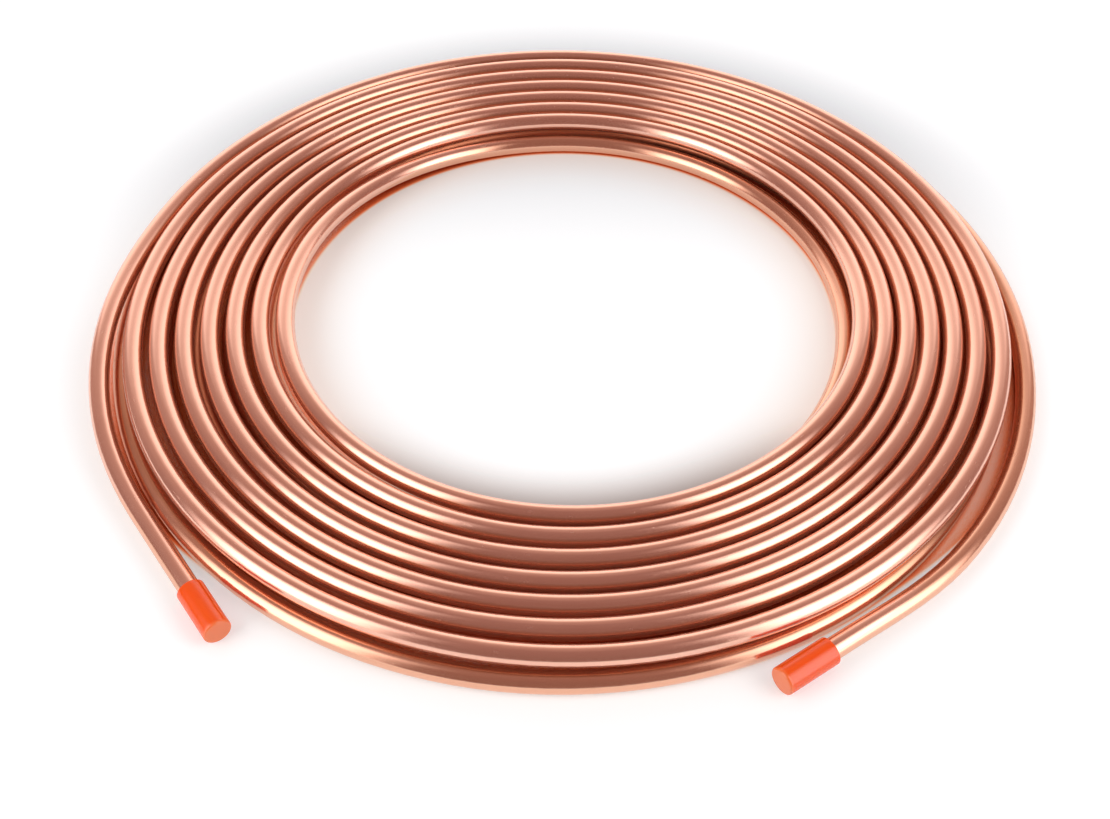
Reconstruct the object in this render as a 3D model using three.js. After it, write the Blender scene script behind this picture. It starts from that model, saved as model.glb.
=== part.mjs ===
// Soft copper refrigeration tube, sold as a flat two-layer coil with a plastic cap on each end.
//
// The coil lies on z = 0, round the Z axis, in millimetres with +Z up. It is one tube from cap to cap. From
// its first cap it lies on the floor outside the coil, climbs over the outermost turn of the bottom layer,
// winds inward as the top layer, comes down inside the coil and winds outward again as the bottom layer, to
// its second cap. Places along the winding are counted in turns, clockwise as seen from above, from the front
// of the coil (-Y).

import * as THREE from "three";

// Tube
const TUBE_OUTSIDE = 9.525; // 3/8 in, outside diameter
const TUBE_WALL = 0.813; // 0.032 in
const SECTION_SIDES = 8; // flats, drawn round the outside of the true circles

// Room between touching parts
const TURN_GAP = 0.3; // between turns that lie against each other
const LAYER_GAP = 0.3; // between the two layers
const CAP_CLEARANCE = 0.3; // between a cap and the tube in it

// Outermost turn of the bottom layer but one, which the outermost turns of both layers lie against
const SEAT_RADIUS = 221.3;

// Top layer, wound inward
const TOP_OUTSET = 4.7; // its even spiral would start this far outside the seat, at the front
const TOP_PITCH = 11.65; // inward for each turn
const TOP_LEAN = 0.6; // each turn lies this much further to the right than the last
const TOP_TRUE_TURN = 3.5; // where it lies true about the Z axis
const TUCK_END = 0.62; // up to here the outermost top turn lies against the next one
const TUCK_SPAN = 0.16; // and over this length it goes back to the spiral
const SLACK_OUT = 1.1; // it stands off the spiral by this much at the front right
const SLACK_AT = 0.91;
const SLACK_REACH = 0.24;

// Bottom layer, wound outward
const BOTTOM_INNER_STEP = 3.9; // its innermost turn lies this far outside the end of the top layer
const BOTTOM_SPREAD_START = 7.78; // it keeps to that radius up to here, and then winds evenly outward
const BOTTOM_SPREAD_END = 11.54; // up to here
const SEAT_STEP = 14.3; // and steps out by this much to the seat
const SEAT_STEP_SPAN = 0.5; // over this length
const SEAT_TUCK = 1.5; // the seat draws in by this much where the first turn climbs over it
const SEAT_TUCK_AT = 12.22;
const SEAT_TUCK_REACH = 0.16;
const LAST_STEP_SPAN = 0.34; // length of the step from the seat to the last turn
const LAST_BOW = 1.5; // the last turn bows out by this much before its free end
const LAST_BOW_RISE = 0.1; // growing over this length
const LAST_BOW_FALL = 0.035; // and closing again over this one

// Changes of layer
const CLIMB_START = 0.115; // up over the outermost bottom turn
const CLIMB_END = 0.305;
const CLIMB_LEAD = 0.3; // share of the climb by which rising comes ahead of leaning in
const DESCENT_START = 7.27; // down inside the coil
const DESCENT_END = 7.49;

// Free ends, which run straight off the winding
const FIRST_TURN = 0.15; // where the first end leaves the winding
const LAST_TURN = 12.905; // where the second one does
const FIRST_RUN = 75; // from there to the end of the tube
const LAST_RUN = 52;
const LIFT_LENGTH = 60; // over which an end rises from the floor to the height of its cap

// End caps
const CAP_WALL = 0.7;
const CAP_LENGTH = 26;
const CAP_FLOOR = 2; // thickness of the closed end
const CAP_EDGE = 0.8; // rounding of the closed end

// Fineness of the facets
const STEPS_PER_TURN = 28;
const RUN_STEPS = 5;
const CAP_SIDES = 32;
const CAP_EDGE_STEPS = 4;

const FULL_TURN = 2 * Math.PI;
const UP = new THREE.Vector3(0, 0, 1);
const { smoothstep, lerp, clamp } = THREE.MathUtils;

const flatRadius = TUBE_OUTSIDE / 2;
const cornerRadius = flatRadius / Math.cos(Math.PI / SECTION_SIDES);
const boreFlatRadius = flatRadius - TUBE_WALL;
const capBoreRadius = cornerRadius + CAP_CLEARANCE;
const capRadius = capBoreRadius + CAP_WALL;
const besideStep = TUBE_OUTSIDE + TURN_GAP;
const bottomHeight = flatRadius;
const topHeight = bottomHeight + TUBE_OUTSIDE + LAYER_GAP;

// Falls smoothly from 1 at the middle to 0 at the reach on both sides.
function bump(turn, middle, reach) {
  return 1 - smoothstep(Math.abs(turn - middle), 0, reach);
}

// Radius of the top layer's even spiral.
function spiralRadius(turn) {
  const lean = TOP_LEAN * (turn - TOP_TRUE_TURN) * Math.sin(turn * FULL_TURN);
  return SEAT_RADIUS + TOP_OUTSET - TOP_PITCH * turn - lean;
}

// Radius of the top layer, whose outermost turn lies against the next one and then stands off it.
function topRadius(turn) {
  const slack = SLACK_OUT * bump(turn, SLACK_AT, SLACK_REACH);
  if (turn > 1) return spiralRadius(turn) + slack;
  const tucked = spiralRadius(turn + 1) + besideStep;
  return lerp(tucked, spiralRadius(turn), smoothstep(turn, TUCK_END, TUCK_END + TUCK_SPAN)) + slack;
}

// How far the last turn bows out, just before it runs straight.
function lastBow(turn) {
  const peak = LAST_TURN - LAST_BOW_FALL;
  const rise = smoothstep(turn, peak - LAST_BOW_RISE, peak);
  return LAST_BOW * rise * (1 - smoothstep(turn, peak, LAST_TURN));
}

// Radius of the bottom layer. It winds evenly outward, and then steps out twice, so that its last turn lies
// beside the one before.
function bottomRadius(turn) {
  const innerRadius = spiralRadius(DESCENT_END) + BOTTOM_INNER_STEP;
  const spread = clamp((turn - BOTTOM_SPREAD_START) / (BOTTOM_SPREAD_END - BOTTOM_SPREAD_START), 0, 1);
  const seatStep = SEAT_STEP * smoothstep(turn, BOTTOM_SPREAD_END, BOTTOM_SPREAD_END + SEAT_STEP_SPAN);
  const seatTuck = SEAT_TUCK * bump(turn, SEAT_TUCK_AT, SEAT_TUCK_REACH);
  const lastStart = BOTTOM_SPREAD_END + 1;
  const lastStep = besideStep * smoothstep(turn, lastStart, lastStart + LAST_STEP_SPAN);
  const even = lerp(innerRadius, SEAT_RADIUS - SEAT_STEP, spread);
  return even + seatStep - seatTuck + lastStep + lastBow(turn);
}

// How much of the climb to the top layer is done, counted evenly.
function climbAt(turn) {
  return (turn - CLIMB_START) / (CLIMB_END - CLIMB_START);
}

// How much of the way down to the bottom layer is done.
function descentAt(turn) {
  return smoothstep(turn, DESCENT_START, DESCENT_END);
}

// Radius of the tube's centre line anywhere on the winding.
function radiusAt(turn) {
  if (turn < CLIMB_END) {
    const leanIn = smoothstep(climbAt(turn), CLIMB_LEAD, 1);
    return lerp(SEAT_RADIUS + besideStep, topRadius(CLIMB_END), leanIn);
  }
  return lerp(topRadius(Math.min(turn, DESCENT_END)), bottomRadius(turn), descentAt(turn));
}

// Its height there.
function heightAt(turn) {
  const rise = smoothstep(climbAt(turn), 0, 1 - CLIMB_LEAD);
  return lerp(bottomHeight, topHeight, rise - descentAt(turn));
}

// Point on the winding.
function windingPoint(turn) {
  const radius = radiusAt(turn);
  const angle = turn * FULL_TURN;
  return new THREE.Vector3(-radius * Math.sin(angle), -radius * Math.cos(angle), heightAt(turn));
}

// Level direction in which the winding runs, towards its end.
function windingDirection(turn) {
  const reach = 0.001;
  const direction = windingPoint(turn + reach).sub(windingPoint(turn - reach));
  return direction.setZ(0).normalize();
}

// A free end: it leaves the winding at the given turn, and runs straight for the given length. Along it the
// tube rises or falls as it would if it went on round.
function freeEnd(turn, run, sense) {
  const start = windingPoint(turn);
  const direction = windingDirection(turn).multiplyScalar(sense);
  const pointAt = (distance) => {
    const goneRound = distance / (FULL_TURN * SEAT_RADIUS);
    const point = start.clone().addScaledVector(direction, distance);
    return point.setZ(heightAt(turn + sense * goneRound) + liftAt(run - distance));
  };
  return { direction, run, pointAt };
}

const firstEnd = freeEnd(FIRST_TURN, FIRST_RUN, -1);
const lastEnd = freeEnd(LAST_TURN, LAST_RUN, 1);

// How far the tube rises at a distance from its end, to carry its cap clear of the floor.
function liftAt(distanceFromEnd) {
  const level = CAP_LENGTH + CAP_WALL;
  return (capRadius - bottomHeight) * (1 - smoothstep(distanceFromEnd, level, level + LIFT_LENGTH));
}

// Centre line of the whole tube. Its steps lie at the same angles in every turn, so that the facets of
// neighbouring turns lie side by side, and it keeps the section upright, so that the lowest flat of the tube
// is level.
class TubePath extends THREE.Curve {
  constructor() {
    super();
    this.firstStep = Math.floor(FIRST_TURN * STEPS_PER_TURN);
    this.windingSteps = Math.ceil(LAST_TURN * STEPS_PER_TURN) - this.firstStep;
    this.steps = this.windingSteps + 2 * RUN_STEPS;
  }

  getPoint(t) {
    const step = t * this.steps - RUN_STEPS;
    if (step < 0) {
      return firstEnd.pointAt((-step / RUN_STEPS) * FIRST_RUN);
    }
    if (step > this.windingSteps) {
      return lastEnd.pointAt(((step - this.windingSteps) / RUN_STEPS) * LAST_RUN);
    }
    const turn = clamp((this.firstStep + step) / STEPS_PER_TURN, FIRST_TURN, LAST_TURN);
    const point = windingPoint(turn);
    const fromFirst = FIRST_RUN + (turn - FIRST_TURN) * FULL_TURN * SEAT_RADIUS;
    const fromLast = LAST_RUN + (LAST_TURN - turn) * FULL_TURN * SEAT_RADIUS;
    return point.setZ(point.z + liftAt(fromFirst) + liftAt(fromLast));
  }

  getUtoTmapping(u) {
    return u;
  }

  computeFrenetFrames(steps) {
    const frames = { tangents: [], normals: [], binormals: [] };
    for (let i = 0; i <= steps; i++) {
      const tangent = this.getTangent(i / steps);
      const normal = new THREE.Vector3().crossVectors(UP, tangent).normalize();
      frames.tangents.push(tangent);
      frames.normals.push(normal);
      frames.binormals.push(new THREE.Vector3().crossVectors(tangent, normal));
    }
    return frames;
  }
}

// Corners of a regular section whose flats touch a circle of the given radius.
function sectionCorners(flatDistance) {
  const corner = flatDistance / Math.cos(Math.PI / SECTION_SIDES);
  return Array.from({ length: SECTION_SIDES }, (_, i) => {
    const angle = ((i + 0.5) / SECTION_SIDES) * FULL_TURN;
    return new THREE.Vector2(corner * Math.cos(angle), corner * Math.sin(angle));
  });
}

function makeTube() {
  const path = new TubePath();
  const section = new THREE.Shape(sectionCorners(flatRadius));
  section.holes.push(new THREE.Path(sectionCorners(boreFlatRadius)));
  return new THREE.ExtrudeGeometry(section, { steps: path.steps, extrudePath: path, curveSegments: 1 });
}

// A cup, open towards +Y, with the outside of its closed end at the origin and a rounded edge there.
function makeCap() {
  const tubeStop = CAP_FLOOR;
  const profile = [new THREE.Vector2(0, tubeStop), new THREE.Vector2(0, 0)];
  for (let i = 0; i <= CAP_EDGE_STEPS; i++) {
    const angle = (i / CAP_EDGE_STEPS) * (Math.PI / 2);
    const x = capRadius - CAP_EDGE + CAP_EDGE * Math.sin(angle);
    profile.push(new THREE.Vector2(x, CAP_EDGE - CAP_EDGE * Math.cos(angle)));
  }
  profile.push(new THREE.Vector2(capRadius, CAP_LENGTH));
  profile.push(new THREE.Vector2(capBoreRadius, CAP_LENGTH));
  profile.push(new THREE.Vector2(capBoreRadius, tubeStop));
  profile.push(new THREE.Vector2(0, tubeStop));
  return new THREE.LatheGeometry(profile, CAP_SIDES);
}

const copper = new THREE.MeshStandardMaterial({ color: 0xc87a5c, roughness: 0.25, metalness: 1 });
const capPlastic = new THREE.MeshStandardMaterial({ color: 0xfc581e, roughness: 0.5, metalness: 0 });

function named(name, geometry, material) {
  const mesh = new THREE.Mesh(geometry, material);
  mesh.name = name;
  return mesh;
}

// Places a cap over a free end: its closed end lies just past the end of the tube, and its mouth faces the
// coil.
function placeCap(name, end) {
  const cap = named(name, makeCap(), capPlastic);
  cap.position.copy(end.pointAt(end.run + CAP_CLEARANCE + CAP_FLOOR)).setZ(capRadius);
  cap.quaternion.setFromUnitVectors(new THREE.Vector3(0, 1, 0), end.direction.clone().negate());
  return cap;
}

const coil = new THREE.Group();
coil.add(named("copper_tube", makeTube(), copper));
coil.add(placeCap("first_end_cap", firstEnd));
coil.add(placeCap("last_end_cap", lastEnd));

export default coil;
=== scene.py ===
"""Looks of a coil of soft copper tube with a plastic cap on each free end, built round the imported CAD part.

The tube is wound again here as a finely divided round tube, on the path of the CAD tube that it stands for.
The object's lengths are in millimetres, as on a drawing, and become metres where a mesh or material is made.
The floor, the lamps and the camera are in metres. Places along the winding are counted in turns, clockwise as
seen from above, from the front of the coil (-Y).
"""
import math

import bpy
import numpy as np
from mathutils import Matrix, Vector


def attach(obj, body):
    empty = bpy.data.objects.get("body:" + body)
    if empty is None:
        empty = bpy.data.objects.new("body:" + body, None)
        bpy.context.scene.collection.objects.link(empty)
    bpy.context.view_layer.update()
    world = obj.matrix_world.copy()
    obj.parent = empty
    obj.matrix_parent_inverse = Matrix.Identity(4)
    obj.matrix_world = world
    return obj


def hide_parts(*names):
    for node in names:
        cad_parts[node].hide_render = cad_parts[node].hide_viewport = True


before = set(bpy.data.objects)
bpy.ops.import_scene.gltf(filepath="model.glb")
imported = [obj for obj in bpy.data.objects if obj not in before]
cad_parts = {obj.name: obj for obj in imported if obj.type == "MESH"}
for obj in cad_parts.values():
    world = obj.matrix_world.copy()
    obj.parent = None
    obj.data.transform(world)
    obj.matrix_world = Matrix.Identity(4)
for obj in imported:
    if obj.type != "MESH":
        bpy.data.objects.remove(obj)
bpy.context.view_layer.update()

MM = 0.001
FULL_TURN = 2 * math.pi
QUARTER_TURN = math.pi / 2

# ---------------------------------------------------------------- the tube's path, as in the CAD part
TUBE_OUTSIDE = 9.525
TUBE_WALL = 0.813
TURN_GAP = 0.3  # between turns that lie against each other
LAYER_GAP = 0.3  # between the two layers

# Outermost turn of the bottom layer but one, which the outermost turns of both layers lie against
SEAT_RADIUS = 221.3

# Top layer, wound inward
TOP_OUTSET = 4.7  # its even spiral would start this far outside the seat, at the front
TOP_PITCH = 11.65  # inward for each turn
TOP_LEAN = 0.6  # each turn lies this much further to the right than the last
TOP_TRUE_TURN = 3.5  # where it lies true about the Z axis
TUCK_END = 0.62  # up to here the outermost top turn lies against the next one
TUCK_SPAN = 0.16  # and over this length it goes back to the spiral
SLACK_OUT = 1.1  # it stands off the spiral by this much at the front right
SLACK_AT = 0.91
SLACK_REACH = 0.24

# Bottom layer, wound outward
BOTTOM_INNER_STEP = 3.9  # its innermost turn lies this far outside the end of the top layer
BOTTOM_SPREAD_START = 7.78  # it keeps to that radius up to here, and then winds evenly outward
BOTTOM_SPREAD_END = 11.54  # up to here
SEAT_STEP = 14.3  # and steps out by this much to the seat
SEAT_STEP_SPAN = 0.5  # over this length
SEAT_TUCK = 1.5  # the seat draws in by this much where the first turn climbs over it
SEAT_TUCK_AT = 12.22
SEAT_TUCK_REACH = 0.16
LAST_STEP_SPAN = 0.34  # length of the step from the seat to the last turn
LAST_BOW = 1.5  # the last turn bows out by this much before its free end
LAST_BOW_RISE = 0.1  # growing over this length
LAST_BOW_FALL = 0.035  # and closing again over this one

# Changes of layer
CLIMB_START = 0.115  # up over the outermost bottom turn
CLIMB_END = 0.305
CLIMB_LEAD = 0.3  # share of the climb by which rising comes ahead of leaning in
DESCENT_START = 7.27  # down inside the coil
DESCENT_END = 7.49

# Free ends, which run straight off the winding
FIRST_TURN = 0.15  # where the first end leaves the winding
LAST_TURN = 12.905  # where the second one does
FIRST_RUN = 75  # from there to the end of the tube
LAST_RUN = 52
LIFT_LENGTH = 60  # over which an end rises from the floor to the height of its cap
END_WAY_REACH = 0.001  # turns to either side of the point that an end's direction is taken from

# End caps
CAP_LENGTH = 26
CAP_FLOOR = 2  # thickness of the closed end
CAP_RADIUS = 6.154  # the CAD cap's, which sets the height of the free ends
CAP_WALL = 0.7
END_GAP = 0.3  # between the tube's end and the floor of its cap

BESIDE_STEP = TUBE_OUTSIDE + TURN_GAP
BOTTOM_HEIGHT = TUBE_OUTSIDE / 2
TOP_HEIGHT = BOTTOM_HEIGHT + TUBE_OUTSIDE + LAYER_GAP


def clamp(x):
    return min(max(x, 0.0), 1.0)


def smoothstep(x, low, high):
    t = clamp((x - low) / (high - low))
    return t * t * (3 - 2 * t)


def lerp(a, b, t):
    return a + (b - a) * t


def bump(turn, middle, reach):
    """Falls smoothly from 1 at the middle to 0 at the reach on both sides."""
    return 1 - smoothstep(abs(turn - middle), 0, reach)


def spiral_radius(turn):
    """Radius of the top layer's even spiral."""
    lean = TOP_LEAN * (turn - TOP_TRUE_TURN) * math.sin(turn * FULL_TURN)
    return SEAT_RADIUS + TOP_OUTSET - TOP_PITCH * turn - lean


def top_radius(turn):
    """Radius of the top layer, whose outermost turn lies against the next one and then stands off it."""
    slack = SLACK_OUT * bump(turn, SLACK_AT, SLACK_REACH)
    if turn > 1:
        return spiral_radius(turn) + slack
    tucked = spiral_radius(turn + 1) + BESIDE_STEP
    return lerp(tucked, spiral_radius(turn), smoothstep(turn, TUCK_END, TUCK_END + TUCK_SPAN)) + slack


def last_bow(turn):
    """How far the last turn bows out, just before it runs straight."""
    peak = LAST_TURN - LAST_BOW_FALL
    return LAST_BOW * smoothstep(turn, peak - LAST_BOW_RISE, peak) * (1 - smoothstep(turn, peak, LAST_TURN))


def bottom_radius(turn):
    """Radius of the bottom layer: its even winding, the seat, and the last turn outside the seat."""
    inner_radius = spiral_radius(DESCENT_END) + BOTTOM_INNER_STEP
    even = clamp((turn - BOTTOM_SPREAD_START) / (BOTTOM_SPREAD_END - BOTTOM_SPREAD_START))
    seat = SEAT_STEP * smoothstep(turn, BOTTOM_SPREAD_END, BOTTOM_SPREAD_END + SEAT_STEP_SPAN)
    tuck = SEAT_TUCK * bump(turn, SEAT_TUCK_AT, SEAT_TUCK_REACH)
    last_start = BOTTOM_SPREAD_END + 1
    last = BESIDE_STEP * smoothstep(turn, last_start, last_start + LAST_STEP_SPAN)
    return lerp(inner_radius, SEAT_RADIUS - SEAT_STEP, even) + seat - tuck + last + last_bow(turn)


def climb_at(turn):
    return (turn - CLIMB_START) / (CLIMB_END - CLIMB_START)


def descent_at(turn):
    return smoothstep(turn, DESCENT_START, DESCENT_END)


def radius_at(turn):
    if turn < CLIMB_END:
        lean_in = smoothstep(climb_at(turn), CLIMB_LEAD, 1)
        return lerp(SEAT_RADIUS + BESIDE_STEP, top_radius(CLIMB_END), lean_in)
    return lerp(top_radius(min(turn, DESCENT_END)), bottom_radius(turn), descent_at(turn))


def height_at(turn):
    rise = smoothstep(climb_at(turn), 0, 1 - CLIMB_LEAD)
    return lerp(BOTTOM_HEIGHT, TOP_HEIGHT, rise - descent_at(turn))


def winding_point(turn):
    angle = turn * FULL_TURN
    radius = radius_at(turn)
    return np.array([-radius * math.sin(angle), -radius * math.cos(angle), height_at(turn)])


def lift_at(distance):
    """How far the tube is lifted, at a distance from its end, because its cap is thicker than the tube."""
    level = CAP_LENGTH + CAP_WALL
    return (CAP_RADIUS - BOTTOM_HEIGHT) * (1 - smoothstep(distance, level, level + LIFT_LENGTH))


class FreeEnd:
    """A free end: it leaves the winding at a turn and runs straight for a length."""

    def __init__(self, turn, run, sense):
        self.turn, self.run, self.sense = turn, run, sense
        way = winding_point(turn + END_WAY_REACH) - winding_point(turn - END_WAY_REACH)
        way[2] = 0
        self.start = winding_point(turn)
        self.direction = sense * way / np.linalg.norm(way)

    def point(self, distance):
        gone_round = distance / (FULL_TURN * SEAT_RADIUS)
        place = self.start + self.direction * distance
        place[2] = height_at(self.turn + self.sense * gone_round) + lift_at(self.run - distance)
        return place


first_end = FreeEnd(FIRST_TURN, FIRST_RUN, -1)
last_end = FreeEnd(LAST_TURN, LAST_RUN, 1)


# ---------------------------------------------------------------- meshes
def add_object(name, data):
    added = bpy.data.objects.new(name, data)
    bpy.context.scene.collection.objects.link(added)
    return added


def add_piece(name, points, faces, smooth, layers):
    """Adds a mesh of points in millimetres, with a smooth or flat mark for each face and vertex layers."""
    mesh = bpy.data.meshes.new(name)
    mesh.from_pydata((np.array(points) * MM).tolist(), [], faces)
    mesh.polygons.foreach_set("use_smooth", smooth)
    for layer, values in layers.items():
        kind, key = ("FLOAT", "value") if values.ndim == 1 else ("FLOAT_VECTOR", "vector")
        mesh.attributes.new(layer, kind, "POINT").data.foreach_set(key, values.ravel())
    mesh.validate()
    mesh.update()
    return add_object(name, mesh)


def ring_angles(sides):
    return np.arange(sides) / sides * FULL_TURN


def turned_over(faces):
    return [face[::-1] for face in faces]


# ---------------------------------------------------------------- tube
STATIONS_PER_TURN = 150
RUN_STATIONS = 16
OUTER_SIDES = 24
BORE_SIDES = 12
SKINS = ((TUBE_OUTSIDE / 2, OUTER_SIDES), (TUBE_OUTSIDE / 2 - TUBE_WALL, BORE_SIDES))  # radius, sides
OUTLOOKS = 24  # directions in which a vertex looks out for other turns


def tube_path():
    """The stations of the centre line, and the turn at each. A free end keeps the turn where it starts."""
    count = math.ceil((LAST_TURN - FIRST_TURN) * STATIONS_PER_TURN)
    winding = [lerp(FIRST_TURN, LAST_TURN, i / count) for i in range(count + 1)]
    points = [first_end.point(FIRST_RUN * (1 - i / RUN_STATIONS)) for i in range(RUN_STATIONS)]
    for turn in winding:
        point = winding_point(turn)
        from_first = FIRST_RUN + (turn - FIRST_TURN) * FULL_TURN * SEAT_RADIUS
        from_last = LAST_RUN + (LAST_TURN - turn) * FULL_TURN * SEAT_RADIUS
        point[2] += lift_at(from_first) + lift_at(from_last)
        points.append(point)
    points += [last_end.point(LAST_RUN * (i + 1) / RUN_STATIONS) for i in range(RUN_STATIONS)]
    return np.array(points), [FIRST_TURN] * RUN_STATIONS + winding + [LAST_TURN] * RUN_STATIONS


def unit(rows):
    return rows / np.linalg.norm(rows, axis=1, keepdims=True)


def ways_along(path):
    return unit(np.gradient(path, axis=0))


def rings(path, radius, sides):
    """Vertices in upright rings round the path. Each ring starts on the side away from the coil's middle."""
    along = ways_along(path)
    beside = unit(np.cross([0, 0, 1], along))
    above = np.cross(along, beside)
    angles = ring_angles(sides)[:, None]
    ring = beside[:, None] * np.cos(angles) + above[:, None] * np.sin(angles)
    return (path[:, None] + radius * ring).reshape(-1, 3)


def wall_faces(rows):
    """Faces between neighbouring rings, which face outward."""
    after = np.roll(rows, -1, axis=1)
    return np.stack([rows[:-1], after[:-1], after[1:], rows[1:]], -1).reshape(-1, 4).tolist()


def end_faces(outer_row, bore_row):
    """Faces of the tube's last end, from the outside in to the bore, one for each side of the bore."""
    share = OUTER_SIDES // BORE_SIDES
    faces = []
    for k in range(BORE_SIDES):
        outside = [int(outer_row[(k * share + j) % OUTER_SIDES]) for j in range(share + 1)]
        faces.append(outside + [int(bore_row[(k + 1) % BORE_SIDES]), int(bore_row[k])])
    return faces


def openness(path, turns):
    """The share of its outlook that each outer vertex has free of other turns.

    It looks out in the upright plane across the tube, where each other turn is a disc, and a direction counts
    by its cosine with the surface's own.
    """
    facing = ring_angles(OUTER_SIDES)
    looks = (np.arange(OUTLOOKS) + 0.5) / OUTLOOKS * math.pi - QUARTER_TURN
    weights = np.cos(looks) / np.cos(looks).sum()
    angles = facing[:, None] + looks
    ahead_ways = np.stack([np.cos(angles), np.sin(angles)], -1)
    aside_ways = np.stack([-np.sin(angles), np.cos(angles)], -1)
    surface = np.stack([np.cos(facing), np.sin(facing)], -1) * TUBE_OUTSIDE / 2
    most_turns = math.ceil(LAST_TURN)
    shares = []
    for point, turn in zip(path, turns):
        others = [turn + k for k in range(-most_turns, most_turns) if k]
        centres = [[radius_at(t), height_at(t)] for t in others if FIRST_TURN <= t <= LAST_TURN]
        middle = np.array([np.hypot(point[0], point[1]), point[2]])
        to_centres = np.array(centres)[None] - (middle + surface)[:, None]
        ahead, aside = (np.einsum("skx,snx->skn", ways, to_centres) for ways in (ahead_ways, aside_ways))
        blocked = ((ahead > 0) & (np.abs(aside) < TUBE_OUTSIDE / 2)).any(-1)
        shares.append((~blocked * weights).sum(-1))
    return np.concatenate(shares)


def make_tube():
    path, turns = tube_path()
    points = np.vstack([rings(path, radius, sides) for radius, sides in SKINS])
    numbers = np.arange(len(points))
    bore_start = len(path) * OUTER_SIDES
    outer_rows = numbers[:bore_start].reshape(len(path), OUTER_SIDES)
    bore_rows = numbers[bore_start:].reshape(len(path), BORE_SIDES)
    faces = wall_faces(outer_rows) + turned_over(wall_faces(bore_rows))
    faces += turned_over(end_faces(outer_rows[0], bore_rows[0])) + end_faces(outer_rows[-1], bore_rows[-1])
    is_smooth = [len(face) == 4 for face in faces]
    # The same tube pulled straight carries the streaks, so that they follow the tube without a seam
    lengths = np.concatenate([[0], np.cumsum(np.linalg.norm(np.diff(path, axis=0), axis=1))])
    straight_path = lengths[:, None] * np.array([1, 0, 0])
    layers = {
        "straight": np.vstack([rings(straight_path, radius, sides) for radius, sides in SKINS]) * MM,
        "openness": np.concatenate([openness(path, turns), np.zeros(bore_rows.size)]),
        "along": np.vstack([np.repeat(ways_along(path), sides, 0) for _, sides in SKINS]),
    }
    return add_piece("tube_round", points, faces, is_smooth, layers)


tube = make_tube()
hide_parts("copper_tube")
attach(tube, "root")

# ---------------------------------------------------------------- caps
SHOWN_CAP_BORE = 4.95  # less than the CAD cap's, because the drawn tube has no corners
CAP_EDGE = 1.0  # rounding of the closed end
MOUTH_EDGE = 0.3  # and of the open one
CAP_EDGE_STEPS = 6
CAP_LENGTH_STEPS = 12
MOUTH_EDGE_STEPS = 4
CAP_SIDES = 64


def cap_profile():
    """Half of the cap's section, as distances from its closed end and radii.

    It runs from the middle of the end face over the outside and the mouth to the middle of the bore's floor.
    """
    profile = [(0.0, 0.0)]
    for angle in np.linspace(0, QUARTER_TURN, CAP_EDGE_STEPS + 1):
        profile.append((CAP_EDGE * (1 - math.cos(angle)), CAP_RADIUS - CAP_EDGE * (1 - math.sin(angle))))
    for i in range(1, CAP_LENGTH_STEPS):
        profile.append((lerp(CAP_EDGE, CAP_LENGTH - MOUTH_EDGE, i / CAP_LENGTH_STEPS), CAP_RADIUS))
    for angle in np.linspace(0, QUARTER_TURN, MOUTH_EDGE_STEPS + 1):
        from_end = CAP_LENGTH - MOUTH_EDGE * (1 - math.sin(angle))
        profile.append((from_end, CAP_RADIUS - MOUTH_EDGE * (1 - math.cos(angle))))
    return profile + [(CAP_LENGTH, SHOWN_CAP_BORE), (CAP_FLOOR, SHOWN_CAP_BORE), (CAP_FLOOR, 0.0)]


def make_cap(name, node, end):
    outward = end.direction
    beside = np.cross([0, 0, 1], outward)
    above = np.cross(outward, beside)
    closed_end = end.point(end.run + END_GAP + CAP_FLOOR)
    closed_end[2] = CAP_RADIUS
    points, rows, from_end = [], [], []
    for distance, radius in cap_profile():
        count = CAP_SIDES if radius else 1
        rows.append(range(len(points), len(points) + count))
        from_end += [distance / CAP_LENGTH] * count
        for angle in ring_angles(count):
            off_axis = radius * (beside * math.cos(angle) + above * math.sin(angle))
            points.append(closed_end - outward * distance + off_axis)
    faces = []
    for near, far in zip(rows, rows[1:]):
        for k in range(CAP_SIDES):
            corners = [row[i % len(row)] for row, i in ((near, k + 1), (near, k), (far, k), (far, k + 1))]
            faces.append(list(dict.fromkeys(corners)))  # a triangle where a row is one point
    cap = add_piece(name, points, faces, [True] * len(faces), {"from_end": np.array(from_end)})
    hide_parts(node)
    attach(cap, "root")
    return cap


left_cap = make_cap("left_cap", "first_end_cap", first_end)
right_cap = make_cap("right_cap", "last_end_cap", last_end)


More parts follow.
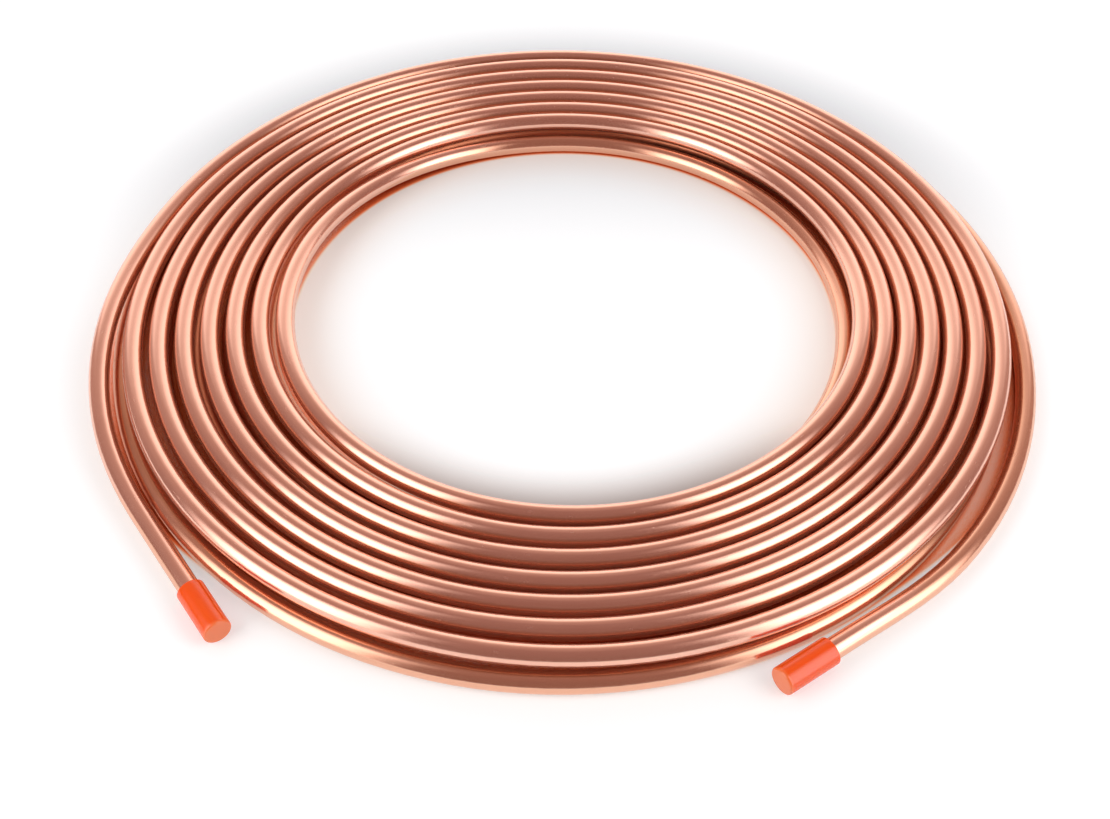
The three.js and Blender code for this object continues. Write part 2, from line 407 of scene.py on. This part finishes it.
# ---------------------------------------------------------------- materials
class Shading:
    """The nodes of one material, lamp or world. Its steps take outputs of nodes, and give an output."""

    def __init__(self, owner):
        owner.use_nodes = True
        self.nodes, self.links = owner.node_tree.nodes, owner.node_tree.links

    def feed(self, socket, value):
        """Links a node's output to the socket, or sets a plain value on it."""
        if isinstance(value, bpy.types.NodeSocket):
            self.links.new(value, socket)
        else:
            socket.default_value = value

    def output(self, kind, name):
        """An output of a new node that needs no input."""
        return self.nodes.new(kind).outputs[name]

    def attribute(self, layer, output):
        node = self.nodes.new("ShaderNodeAttribute")
        node.attribute_name = layer
        return node.outputs[output]

    def axis(self, place, name):
        split = self.nodes.new("ShaderNodeSeparateXYZ")
        self.links.new(place, split.inputs[0])
        return split.outputs[name]

    def math(self, operation, *values):
        """An operation on one, two or three values, which may be plain numbers."""
        step = self.nodes.new("ShaderNodeMath")
        step.operation = operation
        for socket, value in zip(step.inputs, values):
            self.feed(socket, value)
        return step.outputs["Value"]

    def product(self, first, second):
        """One colour times another, which may be a plain one."""
        step = self.nodes.new("ShaderNodeVectorMath")
        step.operation = "MULTIPLY"
        self.links.new(first, step.inputs[0])
        self.feed(step.inputs[1], second)
        return step.outputs["Vector"]

    def distance(self, place, middle):
        step = self.nodes.new("ShaderNodeVectorMath")
        step.operation = "DISTANCE"
        self.links.new(place, step.inputs[0])
        step.inputs[1].default_value = middle
        return step.outputs["Value"]

    def spread(self, value, given, wanted, easing="SMOOTHSTEP"):
        """A value taken from the given range to the wanted one, and kept within it."""
        step = self.nodes.new("ShaderNodeMapRange")
        step.interpolation_type = easing
        self.links.new(value, step.inputs["Value"])
        for name, number in zip(("From Min", "From Max", "To Min", "To Max"), given + wanted):
            step.inputs[name].default_value = number
        return step.outputs["Result"]

    def ramp(self, value, shades):
        """Colours that follow a value, from pairs of a position and a colour, from position 0 to 1."""
        step = self.nodes.new("ShaderNodeValToRGB")
        stops = step.color_ramp.elements
        for position, colour in shades[1:-1]:
            stops.new(position).color = colour + (1,)
        for end in (0, -1):
            stops[end].color = shades[end][1] + (1,)
        self.links.new(value, step.inputs["Fac"])
        return step.outputs["Color"]

    def noise(self, place, size, detail=3):
        """Noise over a place, with the size of its grain along each axis in millimetres."""
        stretch = self.nodes.new("ShaderNodeMapping")
        stretch.inputs["Scale"].default_value = [1 / (s * MM) for s in size]
        self.links.new(place, stretch.inputs["Vector"])
        step = self.nodes.new("ShaderNodeTexNoise")
        step.inputs["Scale"].default_value = 1
        step.inputs["Detail"].default_value = detail
        self.links.new(stretch.outputs["Vector"], step.inputs["Vector"])
        return step.outputs["Fac"]

    def relief(self, height, depth, strength):
        """The normal of a surface with bumps of a depth in millimetres."""
        step = self.nodes.new("ShaderNodeBump")
        step.inputs["Strength"].default_value = strength
        step.inputs["Distance"].default_value = depth * MM
        self.links.new(height, step.inputs["Height"])
        return step.outputs["Normal"]


def new_material(name):
    """A material, its nodes and the sockets of its shader."""
    material = bpy.data.materials.new(name)
    shading = Shading(material)
    return material, shading, shading.nodes["Principled BSDF"].inputs


WHITE = (1, 1, 1)
MOST_NOISE = (0.3, 0.7)  # where nearly all of a noise lies
MID_NOISE = (0.35, 0.65)

# By openness: copper that faces its neighbours is painted deep red and darker, a painted shade for the light
# between the turns, and is dull; open copper is pale and polished
COPPER_WITH_GAP_SHADE = (
    (0, (1, 0.45, 0.27)),
    (0.3, (0.9, 0.4, 0.24)),
    (0.5, (0.68, 0.33, 0.21)),
    (0.64, (0.75, 0.4, 0.27)),
    (0.8, (0.97, 0.575, 0.445)),
    (1, (0.97, 0.575, 0.445)),
)
DULL = 0.42
POLISHED = 0.155
POLISH_OPENNESS = (0.1, 0.6)
# Painted shade on the bottom layer
LOWER_LAYER_SHADE = (0.94, 0.88, 0.79)
STAIN = (0.9, 0.85, 0.82)
RELIEF_DEPTH = 0.02  # of the copper and of the plastic


def copper_material():
    copper, shading, shader = new_material("copper")
    shader["Metallic"].default_value = 0.85
    shader["Anisotropic"].default_value = 0.5
    shader["Anisotropic Rotation"].default_value = 0.25
    shading.feed(shader["Tangent"], shading.attribute("along", "Vector"))  # drawn tube is brushed lengthwise
    open_share = shading.attribute("openness", "Fac")
    straight = shading.attribute("straight", "Vector")
    draw_lines = shading.noise(straight, (60, 0.7, 0.7))
    stains = shading.noise(straight, (45, 9, 9))
    scuffs = shading.noise(straight, (7, 1.6, 1.6), detail=1)

    line_tint = shading.spread(draw_lines, MOST_NOISE, (-0.08, 0.08))
    stain_tint = shading.spread(stains, MOST_NOISE, (0.35, 0.65))
    worn = shading.ramp(shading.math("ADD", line_tint, stain_tint), ((0, STAIN), (1, WHITE)))
    # The bottom layer is painted a little darker and warmer than the top one: painted shade
    height = shading.axis(shading.output("ShaderNodeTexCoord", "Object"), "Z")
    on_top = shading.spread(height, (TUBE_OUTSIDE * MM, (TUBE_OUTSIDE + LAYER_GAP) * MM), (0, 1))
    painted_lower_shade = shading.ramp(on_top, ((0, LOWER_LAYER_SHADE), (1, WHITE)))
    # Copper colour by openness, with painted shade between the turns
    copper_with_painted_gap_shade = shading.ramp(open_share, COPPER_WITH_GAP_SHADE)
    shading.feed(shader["Base Color"], shading.product(shading.product(copper_with_painted_gap_shade, worn), painted_lower_shade))

    polish = shading.spread(open_share, POLISH_OPENNESS, (DULL, POLISHED))
    line_dullness = shading.spread(draw_lines, MID_NOISE, (0, 0.04))
    scuff_dullness = shading.spread(scuffs, (0.68, 0.78), (0, 0.12))
    marks = shading.math("ADD", line_dullness, scuff_dullness)
    shading.feed(shader["Roughness"], shading.math("ADD", polish, marks))

    scuff_depth = shading.spread(scuffs, (0.66, 0.8), (0, -0.5))
    carved = shading.math("ADD", draw_lines, scuff_depth)
    shading.feed(shader["Normal"], shading.relief(carved, RELIEF_DEPTH, strength=0.25))
    return copper


tube.data.materials.append(copper_material())

# By place along the cap: its closed end is painted paler than its side, a painted light on the end face
PLASTIC_WITH_LIT_END = (
    (0, (1, 0.27, 0.1)),
    (0.03, (1, 0.2, 0.05)),
    (0.08, (1, 0.115, 0.008)),
    (1, (1, 0.105, 0.006)),
)
PLASTIC_CLOUD = (1, 0.94, 0.92)
CLOUD_SIZE = 5
GRAIN_SIZE = 0.8


def plastic_material():
    plastic, shading, shader = new_material("cap_plastic")
    shader["Specular IOR Level"].default_value = 0.6
    shader["Subsurface Weight"].default_value = 0.15
    shader["Subsurface Scale"].default_value = 4 * MM
    shader["Subsurface Radius"].default_value = (1, 0.4, 0.1)
    body = shading.output("ShaderNodeTexCoord", "Object")
    clouds = shading.noise(body, [CLOUD_SIZE] * 3)
    mottle = shading.ramp(shading.spread(clouds, MID_NOISE, (0, 1)), ((0, PLASTIC_CLOUD), (1, WHITE)))
    # The cap's colour along it, with painted light on its closed end
    plastic_with_painted_end_light = shading.ramp(shading.attribute("from_end", "Fac"), PLASTIC_WITH_LIT_END)
    shading.feed(shader["Base Color"], shading.product(plastic_with_painted_end_light, mottle))
    shading.feed(shader["Roughness"], shading.spread(clouds, MOST_NOISE, (0.12, 0.17)))
    grain = shading.noise(body, [GRAIN_SIZE] * 3)
    shading.feed(shader["Normal"], shading.relief(grain, RELIEF_DEPTH, strength=0.1))
    return plastic


plastic = plastic_material()
for cap in (left_cap, right_cap):
    cap.data.materials.append(plastic)

# ---------------------------------------------------------------- floor
FLOOR_HALF = 6.0
FLOOR_DROP = 0.00005  # keeps the object just clear of the floor
FLOOR_GLOW = (0.36, 0.46, 0.49)  # with the warm light that falls on it the open paper comes out white
FLOOR_BASE = (0.8, 0.8, 0.8)
# Painted shade, from the paper between the turns, whose light has met copper on its way, to the open paper
FLOOR_SHADES = (
    (0, (0.04, 0.003, 0.001)),
    (0.12, (0.25, 0.012, 0.002)),
    (0.3, (0.85, 0.13, 0.035)),
    (0.4, (0.95, 0.34, 0.17)),
    (0.48, (0.97, 0.66, 0.5)),
    (0.6, (0.95, 0.89, 0.84)),
    (0.75, (0.96, 0.93, 0.91)),
    (0.88, (0.97, 0.965, 0.96)),
    (1, WHITE),
)
SHELTER_REACH = 0.06
SHELTER_SAMPLES = 8
HOLE_RADIUS = 0.143
COIL_RADIUS = 0.2185
EDGE_BLUR = 0.007
PALE_SHADE = 0.74  # the least that the paper's shade comes to beside the coil
ENDS_REACH = 0.007  # the painted dark shade on the paper reaches this much further out where a free end lies beside the coil
ENDS_DEPTHS = (-0.18, -0.12)  # which it does from here backward
RIM_RADIUS = 0.1  # from here to the copper the paper in the hole is painted warm, a painted light thrown by the copper
RIM_PAINTED_WARM_LIGHT = (1, 0.9, 0.84)
FRONT_SHADOW_DEPTHS = (-0.13, -0.065)
FRONT_SHADOW_SHADES = ((0, WHITE), (0.7, (0.45, 0.43, 0.43)), (1, (0.4, 0.36, 0.36)))
BACK_SHADOW_RADII = (0.235, 0.3)
BACK_SHADOW_DEPTHS = (0, 0.2)
BACK_SHADOW_SHADE = (0.72, 0.73, 0.745)
FADE_MIDDLE = (0, 0.35, 0)
FADE_RADII = (0.62, 0.95)  # round that place the paper fades out of the copper's reflections


def paper_material():
    paper, shading, shader = new_material("paper")
    shader["Roughness"].default_value = 0.8
    shader["Specular IOR Level"].default_value = 0
    spot = shading.output("ShaderNodeNewGeometry", "Position")
    depth = shading.axis(spot, "Y")
    radius = shading.distance(spot, (0, 0, 0))

    # The camera sees the paper glow, and so does the copper, but for the copper it fades further out
    ray = shading.nodes.new("ShaderNodeLightPath").outputs
    reflected = shading.math("MAXIMUM", ray["Is Glossy Ray"], ray["Is Transmission Ray"])
    fade = shading.spread(shading.distance(spot, FADE_MIDDLE), FADE_RADII, (1, 0))
    glow = shading.math("MAXIMUM", ray["Is Camera Ray"], shading.math("MULTIPLY", reflected, fade))
    shading.feed(shader["Emission Strength"], glow)

    # The paper is painted dark where the copper shelters it, a painted shade, but stays pale in the coil's
    # hole and outside the coil
    shelter = shading.nodes.new("ShaderNodeAmbientOcclusion")
    shelter.inputs["Distance"].default_value = SHELTER_REACH
    shelter.samples = SHELTER_SAMPLES
    hole_edge = (HOLE_RADIUS - EDGE_BLUR, HOLE_RADIUS)
    coil_edge = (COIL_RADIUS, COIL_RADIUS + EDGE_BLUR)
    in_hole = shading.spread(radius, hole_edge, (PALE_SHADE, 0))
    beside_ends = shading.spread(depth, ENDS_DEPTHS, (0, ENDS_REACH))
    outside = shading.spread(shading.math("SUBTRACT", radius, beside_ends), coil_edge, (0, PALE_SHADE))
    shade = shading.math("MAXIMUM", shelter.outputs["AO"], shading.math("MAXIMUM", in_hole, outside))

    # In the hole the paper is painted warm near the copper, a painted light thrown by the copper, and painted
    # soft shadows lie behind the coil's front and its back
    near_copper = shading.spread(radius, (RIM_RADIUS, HOLE_RADIUS), (0, 1))
    rim = shading.math("MULTIPLY", near_copper, shading.spread(radius, hole_edge, (1, 0)))
    behind_front = shading.math("MULTIPLY", rim, shading.spread(depth, FRONT_SHADOW_DEPTHS, (1, 0)))
    near_outside = shading.spread(radius, BACK_SHADOW_RADII, (1, 0))
    behind_back = shading.math("MULTIPLY", near_outside, shading.spread(depth, BACK_SHADOW_DEPTHS, (0, 1)))
    painted_warm_light = shading.ramp(rim, ((0, WHITE), (1, RIM_PAINTED_WARM_LIGHT)))
    front_shadow = shading.ramp(behind_front, FRONT_SHADOW_SHADES)
    back_shadow = shading.ramp(behind_back, ((0, WHITE), (1, BACK_SHADOW_SHADE)))
    painted_light_and_shadows = shading.product(shading.product(painted_warm_light, front_shadow), back_shadow)
    paper_with_painted_shade = shading.product(shading.ramp(shade, FLOOR_SHADES), painted_light_and_shadows)
    for name, share in (("Emission Color", FLOOR_GLOW), ("Base Color", FLOOR_BASE)):
        shading.feed(shader[name], shading.product(paper_with_painted_shade, share))
    return paper


mesh = bpy.data.meshes.new("floor")
corners = [(x * FLOOR_HALF, y * FLOOR_HALF, 0) for x, y in ((-1, -1), (1, -1), (1, 1), (-1, 1))]
mesh.from_pydata(corners, [], [(0, 1, 2, 3)])
floor = add_object("floor", mesh)
floor.location.z = -FLOOR_DROP
floor.data.materials.append(paper_material())

# ---------------------------------------------------------------- lamps and room
LAMP_TAIL = 3  # softnesses by which a lamp goes on past its stated size, while it fades out


def softbox(name, place, facing, up, half_size, softness, radiance):
    """A flat lamp that fades over its edges. Its radiance at the middle is the given one."""
    data = bpy.data.lights.new(name, "AREA")
    data.shape = "RECTANGLE"
    reach = [half + LAMP_TAIL * soft for half, soft in zip(half_size, softness)]
    data.size, data.size_y = 2 * reach[0], 2 * reach[1]
    data.energy = math.pi * radiance * data.size * data.size_y
    shading = Shading(data)
    surface = shading.output("ShaderNodeNewGeometry", "Parametric")
    fades = []
    # Each fade is the logistic curve of how many softnesses a place lies inside the stated size
    for axis, whole, half, soft in zip("XY", reach, half_size, softness):
        from_middle = shading.math("ABSOLUTE", shading.math("SUBTRACT", shading.axis(surface, axis), 0.5))
        inside = shading.math("MULTIPLY_ADD", from_middle, -whole / soft, half / soft / 2)
        fades.append(shading.math("MULTIPLY_ADD", shading.math("TANH", inside), 0.5, 0.5))
    shading.feed(shading.nodes["Emission"].inputs["Strength"], shading.math("MULTIPLY", *fades))
    back = -Vector(facing).normalized()
    right = Vector(up).cross(back).normalized()
    turned = Matrix((right, back.cross(right), back)).transposed().to_4x4()
    add_object(name, data).matrix_world = Matrix.Translation(Vector(place)) @ turned


for name, side in (("left_softbox", -1), ("right_softbox", 1)):
    softbox(
        name,
        place=(side * 0.84, -0.5, 0.5),
        facing=(-side * 0.81, 0.5, -0.317),
        up=(-side * 0.142, 0.355, 0.924),
        half_size=(0.34, 0.75),
        softness=(0.06, 0.2),
        radiance=3.15,
    )
softbox(
    "back_panel",
    place=(0, 0.75, 0.25),
    facing=(0, -1, 0),
    up=(0, 0, 1),
    half_size=(1.05, 0.45),
    softness=(0.06, 0.1),
    radiance=0.97,
)

# A brown room, darker behind the camera and lighter behind the coil
ROOM_SHADES = (
    (0, (0.205, 0.0918, 0.0702)),
    (0.3, (0.248, 0.113, 0.0918)),
    (0.55, (0.281, 0.14, 0.119)),
    (0.8, (0.486, 0.313, 0.27)),
    (1, (0.67, 0.518, 0.454)),
)
world = bpy.data.worlds.new("world")
bpy.context.scene.world = world
shading = Shading(world)
backward = shading.axis(shading.output("ShaderNodeTexCoord", "Generated"), "Y")
room = shading.ramp(shading.spread(backward, (-1, 1), (0, 1), easing="LINEAR"), ROOM_SHADES)
shading.feed(shading.nodes["Background"].inputs["Color"], room)

# ---------------------------------------------------------------- camera, fitted to the photograph
PICTURE_WIDTH = 1110
FOCAL_LENGTH = 1316.38  # in the picture's pixels
SENSOR_WIDTH = 36
CAMERA_PLACE = (-0.004353, -0.500615, 0.458234)
CAMERA_DOWN = 46.62  # degrees below level
NEAREST_SEEN = 0.01

camera_data = bpy.data.cameras.new("camera")
camera_data.sensor_fit = "HORIZONTAL"
camera_data.sensor_width = SENSOR_WIDTH
camera_data.lens = FOCAL_LENGTH / PICTURE_WIDTH * SENSOR_WIDTH
camera_data.clip_start = NEAREST_SEEN
camera = add_object("camera", camera_data)
camera.location = CAMERA_PLACE
camera.rotation_euler = (math.radians(90 - CAMERA_DOWN), 0, 0)
bpy.context.scene.camera = camera

bpy.context.scene.view_settings.view_transform = "Standard"
